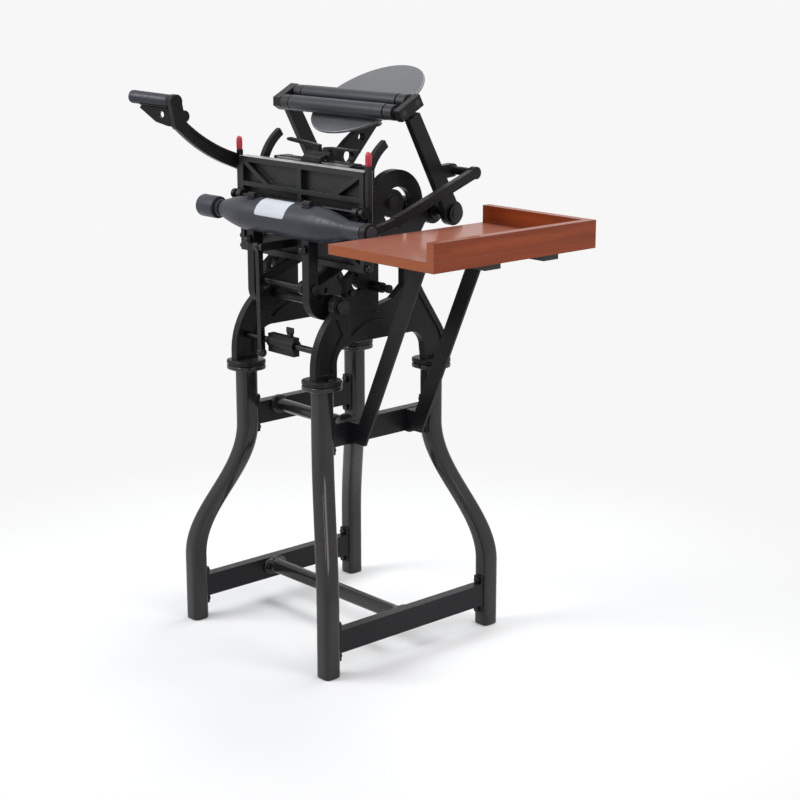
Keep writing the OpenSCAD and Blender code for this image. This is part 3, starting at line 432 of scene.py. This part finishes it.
def platen_finish(name, colour):
    """Platen: enamelled back, with its ground top edge and face left bare."""
    material, tree, shader = new_material(name)
    within = 0.0004
    ground, rubbed_highlit = (0.40, 0.40, 0.385), (0.35, 0.35, 0.34)
    top = math_node(tree, "GREATER_THAN", along_axis(tree, "Z"), PLATEN_TOP - within)
    face = math_node(tree, "GREATER_THAN", along_axis(tree, "Y"), PLATEN_FACE - within)
    bare = math_node(tree, "MAXIMUM", top, face)
    skin = use_group(tree, SKIN, Fine=800.0, Coarse=120.0)
    edges = use_group(tree, EDGES, Radius=0.0012, Break=70.0)
    base = mix_colour(tree, skin["Tint"], colour, shade(colour, 1.5, 0.004))
    base = mix_colour(tree, bare, base, ground)
    # rubbed edges painted paler: partly wear, partly a painted highlight
    base = lay_over(tree, edges["Mask"], 0.5, base, rubbed_highlit)
    finish_shader(tree, shader, base, ramp(tree, skin["Patch"], 0.0, 1.0, 0.34, 0.46),
                  {"Specular IOR Level": 0.3})
    tree.links.new(math_node(tree, "MULTIPLY", bare, 0.35), shader.inputs["Metallic"])
    bump_to(tree, shader, skin["Height"], edges["Normal"], strength=0.15, distance=0.001)
    return material


def lacquered_wood(name, spread, top=None):
    """Feed board: grain and pores of stretched noise under a clear red-brown lacquer, paler on the
    front end and, where top is given, lit by a painted sheen on the face at that height."""
    material, tree, shader = new_material(name)
    within = 0.0005
    dark_grain, light_grain = (0.170, 0.030, 0.009), (0.262, 0.053, 0.0155)
    pore_brown, rubbed_highlit_edge = (0.075, 0.015, 0.006), (0.42, 0.14, 0.06)
    pale_front_end, painted_top_sheen = (0.40, 0.125, 0.050), (0.50, 0.29, 0.23)
    lengthwise = stretched(tree, spread)
    warp = noise(tree, lengthwise, Scale=1.0, Detail=6.0, Roughness=0.6, Distortion=0.8)
    pores = noise(tree, lengthwise, Scale=7.0, Detail=3.0, Roughness=0.7)
    edges = use_group(tree, EDGES, Radius=0.002, Break=30.0)
    base = mix_colour(tree, ramp(tree, warp, 0.32, 0.7), dark_grain, light_grain)
    base = mix_colour(tree, ramp(tree, pores, 0.56, 0.72, 0.0, 0.45), base, pore_brown)
    # rubbed edges painted paler: partly wear, partly a painted highlight
    base = lay_over(tree, edges["Mask"], 0.35, base, rubbed_highlit_edge)
    # the front end face is painted paler
    front = math_node(tree, "LESS_THAN", along_axis(tree, "Y"), BOARD_FRONT + within)
    base = lay_over(tree, front, 0.5, base, pale_front_end)
    if top is not None:
        # painted sheen: the top face lightened to stand in for the lacquer's reflection
        painted_sheen_mask = math_node(tree, "GREATER_THAN", along_axis(tree, "Z"), top - within)
        base = lay_over(tree, painted_sheen_mask, 0.22, base, painted_top_sheen)
    finish_shader(tree, shader, base, ramp(tree, warp, 0.0, 1.0, 0.30, 0.42),
                  {"Specular IOR Level": 0.04, "Coat Weight": 0.36, "Coat Roughness": 0.12})
    bump_to(tree, shader, pores, edges["Normal"], strength=0.06, distance=0.0005)
    return material


def red_cap(name):
    """Finger caps: dipped red rubber, unevenly dull."""
    material, tree, shader = new_material(name)
    skin = use_group(tree, SKIN, Fine=900.0, Coarse=200.0)
    edges = use_group(tree, EDGES, Radius=0.002, Break=90.0)
    deep_red, bright_red = (0.36, 0.008, 0.022), (0.52, 0.018, 0.040)
    base = mix_colour(tree, skin["Tint"], deep_red, bright_red)
    finish_shader(tree, shader, base, ramp(tree, skin["Patch"], 0.0, 1.0, 0.3, 0.45))
    bump_to(tree, shader, skin["Height"], edges["Normal"], strength=0.1, distance=0.0005)
    return material


def bare_plate(name):
    """Label stock left bare: off-white, slowly mottled."""
    material, tree, shader = new_material(name)
    skin = use_group(tree, SKIN, Fine=600.0, Coarse=80.0)
    dull_white, clean_white = (0.44, 0.47, 0.51), (0.58, 0.61, 0.66)
    base = mix_colour(tree, skin["Tint"], dull_white, clean_white)
    finish_shader(tree, shader, base, ramp(tree, skin["Patch"], 0.0, 1.0, 0.35, 0.5))
    bump_to(tree, shader, skin["Height"], None, strength=0.06, distance=0.0003)
    return material


press_black = enamel(
    "press_black", colour=(0.0058, 0.0060, 0.0068), worn_highlit=(0.11, 0.11, 0.115), rough=0.28,
    fine=950.0, coarse=130.0, grain=0.14, edge=0.0016, dust=0.07, spec=0.17)
bar_black = enamel(
    "bar_blue_black", colour=(0.0130, 0.0158, 0.0235), worn_highlit=(0.13, 0.135, 0.14), rough=0.37,
    fine=900.0, coarse=110.0, grain=0.045, edge=0.002, dust=0.05, spec=0.33)
stand_black = enamel(
    "stand_brown_black", colour=(0.0118, 0.0106, 0.0100), worn_highlit=(0.10, 0.095, 0.09), rough=0.22,
    fine=300.0, coarse=45.0, grain=0.022, edge=0.003, dust=0.03, spec=0.08, coat=0.58)
dark_steel = steel("dark_steel", (0.045, 0.045, 0.048), rough=0.32, streak=(1.0, 6.0, 6.0))
bare_steel = steel("bare_steel", (0.42, 0.42, 0.42), rough=0.30, streak=(1.0, 8.0, 8.0))
disk_grey = turned_disk("disk_grey", (0.150, 0.155, 0.166))
roller_black = roller_finish("roller_black")
platen_black = platen_finish("platen_black", (0.0075, 0.0080, 0.0085))
board_grain = lacquered_wood("board_grain", (13.0, 1.6, 90.0), BOARD_TOP)
rail_grain = lacquered_wood("rail_grain", (40.0, 1.6, 30.0))
back_grain = lacquered_wood("back_grain", (1.6, 40.0, 30.0))
red_rubber = red_cap("red_rubber")
blank_label = bare_plate("blank_label")

FINISH = {
    "stand_enamel": stand_black,
    "press_enamel": press_black,
    "dark_steel": dark_steel,
    "bare_steel": bare_steel,
    "disk_steel": disk_grey,
    "red_tip": red_rubber,
    "roller_rubber": roller_black,
    "board_wood": board_grain,
}
# Nodes that don't wear the finish of their slot.
OWN_FINISH = {
    "platen": platen_black,
    "board_side": rail_grain,
    "board_back": back_grain,
    "board_runners": stand_black,
    "board_bracket_front": press_black,
    "board_bracket_rear": press_black,
    "upper_stretcher_left": press_black,
    "upper_stretcher_right": press_black,
    "lower_stretcher_left": press_black,
    "lower_stretcher_right": press_black,
}


def dress(obj, material):
    obj.data.materials.clear()
    obj.data.materials.append(material)


for entry in frame["record"]["subparts"]:
    node = nodes[entry["node"]]
    dress(node, OWN_FINISH.get(entry["node"], FINISH[entry["material_slot"]]))


# Pieces

def rides_with(piece, body, material):
    dress(piece, material)
    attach(piece, body)


def bar_label():
    """Bare label bent round the impression bar: a patch of the cylinder's surface, a little outside
    the radius, with rounded corners: each half-length is drawn in by sqrt(1 - k p^n) of the other
    parameter p."""
    middle, half = -0.006, 0.049
    facing, sweep = 131, 39
    lift, film = 0.00035, 0.0003
    a, b = np.meshgrid(np.linspace(-1, 1, 41), np.linspace(-1, 1, 25), indexing="ij")
    x = middle + half * a * np.sqrt(1 - 0.06 * b ** 8)
    angle = np.radians(facing + sweep * b * np.sqrt(1 - 0.10 * a ** 12))
    r = BAR_R + lift
    points = np.stack([x, BAR[0] + r * np.cos(angle), BAR[1] + r * np.sin(angle)], -1)
    piece = grid_piece("bar_label", [points])
    thicken(piece, "thickness", film, -1.0)
    rides_with(piece, "platen_rocker", blank_label)


def collar_rings(sx, sy, z):
    """Flange collar: a rounded rim of superellipse rings with power 3.2, closed at both poles."""
    inset = 0.0002
    low, high = inset, FLANGE_T - inset
    rim = round_profile([(0, low), (COLLAR_HALF, low), (COLLAR_HALF, high), (0, high)],
                        radius=0.0032, steps=6)
    return rings_along(rim, around=56, power=3.2) + np.array([sx * LEG_TOP[0], sy * LEG_TOP[1], z])


def leg_casting(name, sx, sy):
    """A leg and its flange. The middle of each level lies (1 + cos u) / 2 of the way out from under
    the flange to the foot, where u goes from 0 to half a turn over the bend. Each level is a
    superellipse of power 4, which gives flat faces with soft corners."""
    sole = [(0, 0), (LEG_HALF - 0.002, 0), (LEG_HALF - 0.0004, 0.0012), (LEG_HALF, 0.003)]
    levels = np.concatenate([np.linspace(0.02, LEG_BEND[0], 6), np.linspace(*LEG_BEND, 42)[1:],
                             np.linspace(LEG_BEND[1], LEG_TOP_Z, 6)[1:]])
    profile = np.concatenate([sole, np.stack([np.full(len(levels), LEG_HALF), levels], -1)])
    u = np.clip((profile[:, 1] - LEG_BEND[0]) / (LEG_BEND[1] - LEG_BEND[0]), 0, 1) * np.pi
    out = (1 + np.cos(u)) / 2
    shaft = rings_along(profile, around=56, power=4.0)
    for axis, way in enumerate((sx, sy)):
        middle = way * (LEG_TOP[axis] + (LEG_FOOT[axis] - LEG_TOP[axis]) * out)
        shaft[..., axis] += middle[:, None]
    piece = grid_piece("casting_" + name, [shaft, collar_rings(sx, sy, LEG_TOP_Z)], wrap=True)
    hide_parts(name)
    rides_with(piece, "stand_frame", stand_black)


def frame_collar(name, sx, sy):
    """Upper flange collar, round the foot of a side frame: the same rim, one flange higher."""
    seam = 0.0003
    piece = grid_piece(name, [collar_rings(sx, sy, LEG_TOP_Z + FLANGE_T + seam)], wrap=True)
    rides_with(piece, "stand_frame", press_black)


def turned_bar():
    """Impression bar: a turned profile along X. Between the neck and the full radius R it follows
    R - (R - neck) s^1.6, with s running from 0 to 1 over the taper. The left neck ends in a wide
    cap and the right one in a thin pin with a washer, both with rounded corners."""
    s = np.linspace(0, 1, 26)
    x = TAPER[0] + (TAPER[1] - TAPER[0]) * s
    r = BAR_R - (BAR_R - NECK_R) * s ** 1.6
    left_end, right_end = BAR_ENDS
    neck_from, neck_to = TAPER[1] + 0.002, 0.258
    cap_r, stem_r, pin_r, washer_r = 0.0245, 0.013, 0.009, 0.014
    cap_inner, washer_inner = left_end + 0.058, right_end - 0.002
    cap = round_profile([(0, left_end), (cap_r, left_end), (cap_r, cap_inner),
                         (stem_r, cap_inner), (stem_r, -neck_from)], radius=0.0045, steps=6)
    end = round_profile([(NECK_R, neck_from), (NECK_R, neck_to), (pin_r, neck_to),
                         (pin_r, washer_inner), (washer_r, washer_inner), (washer_r, right_end),
                         (0, right_end)], radius=0.0022, steps=5)
    middle = np.stack([np.full(7, BAR_R), np.linspace(-TAPER[0], TAPER[0], 9)[1:-1]], -1)
    profile = np.concatenate([cap, np.stack([r, -x], -1)[::-1], middle, np.stack([r, x], -1), end])
    rings = placed(rings_along(profile, around=72), (0, *BAR), (1, 0, 0))
    piece = grid_piece("impression_barrel", [rings], wrap=True)
    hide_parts("impression_bar")
    rides_with(piece, "platen_rocker", bar_black)


def hand_grip():
    """Grip sleeve: a turned profile of the radius R (0.95 + 0.03 s^2), with s running from 0 to 1
    along the grip, and with a rounded outer end."""
    low, high = GRIP_SPAN
    h = np.linspace(low + 0.003, high - 0.012, 14)
    r = GRIP_R * (0.95 + 0.03 * ((h - low) / (high - low)) ** 2)
    side = np.stack([r, h], -1)
    dome = round_profile([side[-1], (GRIP_R * 0.99, high - 0.007), (GRIP_R * 0.9, high),
                          (0, high)], radius=0.005, steps=6)[1:]
    foot = np.array([(0, low), (GRIP_R * 0.84, low), (GRIP_R * 0.92, low + 0.001)])
    sleeve = rings_along(np.concatenate([foot, side, dome]), around=56)
    rings = placed(sleeve, GRIP_BASE, GRIP_AXIS)
    piece = grid_piece("grip_sleeve", [rings], wrap=True)
    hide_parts("lever_grip")
    rides_with(piece, "lever", bar_black)


def grip_cradle():
    """Seat of the grip on the lever's web: 76 degrees of a pipe round the grip's axis, lowest
    under it."""
    start, stop, sweep = 0.004, 0.081, 38
    r, wall = GRIP_R + 0.0002, 0.0014
    h, angle = np.meshgrid(np.linspace(start, stop, 18), np.radians(np.linspace(-sweep, sweep, 17)),
                           indexing="ij")
    rings = np.stack([r * np.cos(angle), r * np.sin(angle), h], -1)
    axis = np.array(GRIP_AXIS)
    down = -np.array((0, 0, 1.0)) + axis * axis[2]
    down = down / np.linalg.norm(down)
    turn = np.stack([down, np.cross(axis, down), axis])
    piece = grid_piece("grip_cradle", [rings @ turn + np.array(GRIP_BASE)])
    thicken(piece, "wall", wall, 1.0)
    rides_with(piece, "lever", press_black)


def centre_tie():
    """Low tie between the stretchers, along X: a superellipse section of power 2.8, two thirds as
    wide as high, that ends in a wider pad at both stretchers."""
    # X, half-width and half-height from the bar's full section to the closed end of the pad.
    half = np.array([(0.202, 0.011, 0.017), (0.214, 0.0125, 0.0185), (0.214, 0.030, 0.019),
                     (0.215, 0.031, 0.020), (0.220, 0.031, 0.020), (0.220, 0, 0)])
    x, wide, high = np.concatenate([half[::-1] * (-1, 1, 1), half]).T
    ring = rings_along(np.array([(1.0, 0.0)]), around=48, power=2.8)[0]
    points = np.stack([x[:, None] + 0 * ring[:, 0], TIE[0] + wide[:, None] * ring[:, 0],
                       TIE[1] + high[:, None] * ring[:, 1]], -1)
    piece = grid_piece("centre_tie", [points], wrap=True)
    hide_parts("centre_bar")
    rides_with(piece, "stand_frame", stand_black)


def dipped_tips():
    """Red finger caps: superellipse rings of power 2.6, whose half-width follows a swollen profile
    that is narrow at the finger and rounded at the top."""
    half, tall = 0.0062, 0.0288
    h = np.array([0.0, 0.0, 0.03, 0.12, 0.35, 0.6, 0.78, 0.9, 0.97, 1.0, 1.0])
    w = np.array([0.0, 0.80, 0.9, 0.97, 1.0, 0.98, 0.92, 0.78, 0.55, 0.25, 0.0])
    rings = rings_along(np.stack([w * half, h * tall], -1), around=32, power=2.6)
    patches = [rings + np.array([side * TIP[0], TIP[1], TIP[2]]) for side in (-1, 1)]
    piece = grid_piece("dipped_tips", patches, wrap=True)
    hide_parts("gripper_tips")
    rides_with(piece, "grippers", red_rubber)


def acorn_nuts(name, body, places, width):
    """Acorn nuts: up to 0.4 of the width the ring is a hexagon, half the width divided by the
    cosine of the angle from the nearest flat's middle. Above it stands a dome, 0.42 of the width
    times cos a out and 0.40 times sin a up, with a from 0 to a quarter turn."""
    t = np.linspace(0, 2 * np.pi, 36, endpoint=False)
    off = np.abs((t + np.pi / 6) % (np.pi / 3) - np.pi / 6)
    flat = width / 2 / np.cos(off)
    levels = [(0 * flat, 0), (flat, 0), (flat, 0.40 * width),
              (np.minimum(flat, width * 0.52), 0.47 * width)]
    levels += [(0 * flat + 0.42 * width * math.cos(a), width * (0.50 + 0.40 * math.sin(a)))
               for a in np.linspace(0, np.pi / 2, 9)]
    rings = np.stack([np.stack([r * np.cos(t), r * np.sin(t), h + 0 * t], -1) for r, h in levels])
    patches = [placed(rings, place, axis, (0, 0.3, 1)) for place, axis in places]
    piece = grid_piece(name, patches, wrap=True)
    rides_with(piece, body, dark_steel)


for side, sx in (("left", -1), ("right", 1)):
    for end, sy in (("front", -1), ("rear", 1)):
        leg_casting(f"leg_{end}_{side}", sx, sy)
        frame_collar(f"collar_{end}_{side}", sx, sy)
turned_bar()
bar_label()
hand_grip()
grip_cradle()
dipped_tips()
centre_tie()

# Y and Z of the nuts on both side frames, and of those on both ends of the platen.
FRAME_NUTS = [(-0.066, 0.905), (-0.066, 0.868), (-0.062, 0.994)]
PLATEN_NUTS = [(-0.097, 0.846), (-0.097, 0.868)]
acorn_nuts("frame_nuts", "stand_frame",
           [((s * FRAME_FACE, *spot), (s, 0, 0)) for s in (-1, 1) for spot in FRAME_NUTS],
           width=0.016)
acorn_nuts("platen_nuts", "platen_rocker",
           [((s * PLATEN_EDGE, *spot), (s, 0, 0)) for s in (-1, 1) for spot in PLATEN_NUTS],
           width=0.013)
acorn_nuts("rocker_nuts", "platen_rocker",
           [((s * ARM_FRONT[0], *ARM_FRONT[1:]), (0, -1, 0)) for s in (-1, 1)], width=0.016)


# Room, light and camera

def paper_floor(half=3.0, fade=(0.55, 1.35)):
    """Plain pale floor, solid under the press and thinning out to nothing over the fade's reach."""
    x, y = np.meshgrid(np.linspace(-half, half, 5), np.linspace(-half, half, 5), indexing="ij")
    floor = grid_piece("studio_floor", [np.stack([x, y, 0 * x], -1)])
    material, tree, shader = new_material("studio_paper")
    shader.inputs["Base Color"].default_value = (0.84, 0.84, 0.84, 1)
    shader.inputs["Roughness"].default_value = 0.9
    shader.inputs["Specular IOR Level"].default_value = 0.0
    reach = add(tree, "ShaderNodeVectorMath", operation="LENGTH")
    tree.links.new(object_coords(tree), reach.inputs[0])
    solid = ramp(tree, reach.outputs["Value"], *fade, 1.0, 0.0)
    tree.links.new(solid, shader.inputs["Alpha"])
    dress(floor, material)


def white_room():
    """World: plain white to the camera and in reflections, softer as a light."""
    world = bpy.data.worlds.new("studio")
    bpy.context.scene.world = world
    world.use_nodes = True
    tree = world.node_tree
    tree.nodes.clear()
    path = add(tree, "ShaderNodeLightPath")
    mirrored = math_node(tree, "MAXIMUM", path.outputs["Is Glossy Ray"],
                         path.outputs["Is Transmission Ray"])
    seen = math_node(tree, "MAXIMUM", path.outputs["Is Camera Ray"], mirrored)
    white = add(tree, "ShaderNodeBackground", {"Color": (0.93, 0.93, 0.93, 1), "Strength": 1.0})
    soft = add(tree, "ShaderNodeBackground", {"Color": (0.95, 0.97, 1.0, 1), "Strength": 0.55})
    mix = add(tree, "ShaderNodeMixShader")
    output = add(tree, "ShaderNodeOutputWorld")
    tree.links.new(seen, mix.inputs[0])
    tree.links.new(soft.outputs[0], mix.inputs[1])
    tree.links.new(white.outputs[0], mix.inputs[2])
    tree.links.new(mix.outputs[0], output.inputs["Surface"])


def softbox(name, place, target, size, watts):
    lamp = bpy.data.lights.new(name, "AREA")
    lamp.shape = "RECTANGLE"
    lamp.size, lamp.size_y = size
    lamp.energy = watts
    obj = bpy.data.objects.new(name, lamp)
    bpy.context.scene.collection.objects.link(obj)
    aim = (Vector(place) - Vector(target)).to_track_quat("Z", "Y")
    obj.matrix_world = Matrix.Translation(place) @ aim.to_matrix().to_4x4()


def photo_camera():
    """The photograph's camera: 47.8 degrees round, 14.3 degrees up, 79.9 mm on a 36 mm frame."""
    round_by, up_by = math.radians(47.8), math.radians(14.3)
    place = (2.8964, -2.4457, 1.4813)
    focal_pixels, picture_pixels = 1775.1, 800.0
    back = Vector((math.sin(round_by) * math.cos(up_by), -math.cos(round_by) * math.cos(up_by),
                   math.sin(up_by)))
    right = Vector((math.cos(round_by), math.sin(round_by), 0))
    data = bpy.data.cameras.new("photo_camera")
    data.sensor_width = 36.0
    data.lens = focal_pixels * 36.0 / picture_pixels
    camera = bpy.data.objects.new("photo_camera", data)
    bpy.context.scene.collection.objects.link(camera)
    turn = Matrix((right, back.cross(right), back)).transposed()
    camera.matrix_world = Matrix.Translation(place) @ turn.to_4x4()
    bpy.context.scene.camera = camera


bpy.context.scene.view_settings.view_transform = "Standard"
paper_floor()
white_room()
softbox("key_softbox", (-1.6, -2.6, 3.0), (0, 0, 0.8), size=(1.8, 1.8), watts=91)
softbox("side_softbox", (2.8, 0.4, 2.2), (0.1, 0, 0.8), size=(1.4, 1.8), watts=34)
softbox("top_softbox", (0.2, 1.2, 3.2), (0, 0, 0.9), size=(1.8, 1.2), watts=45)
softbox("front_softbox", (2.3, -2.1, 3.1), (0.1, -0.1, 0.6), size=(0.24, 1.2), watts=13)
photo_camera()
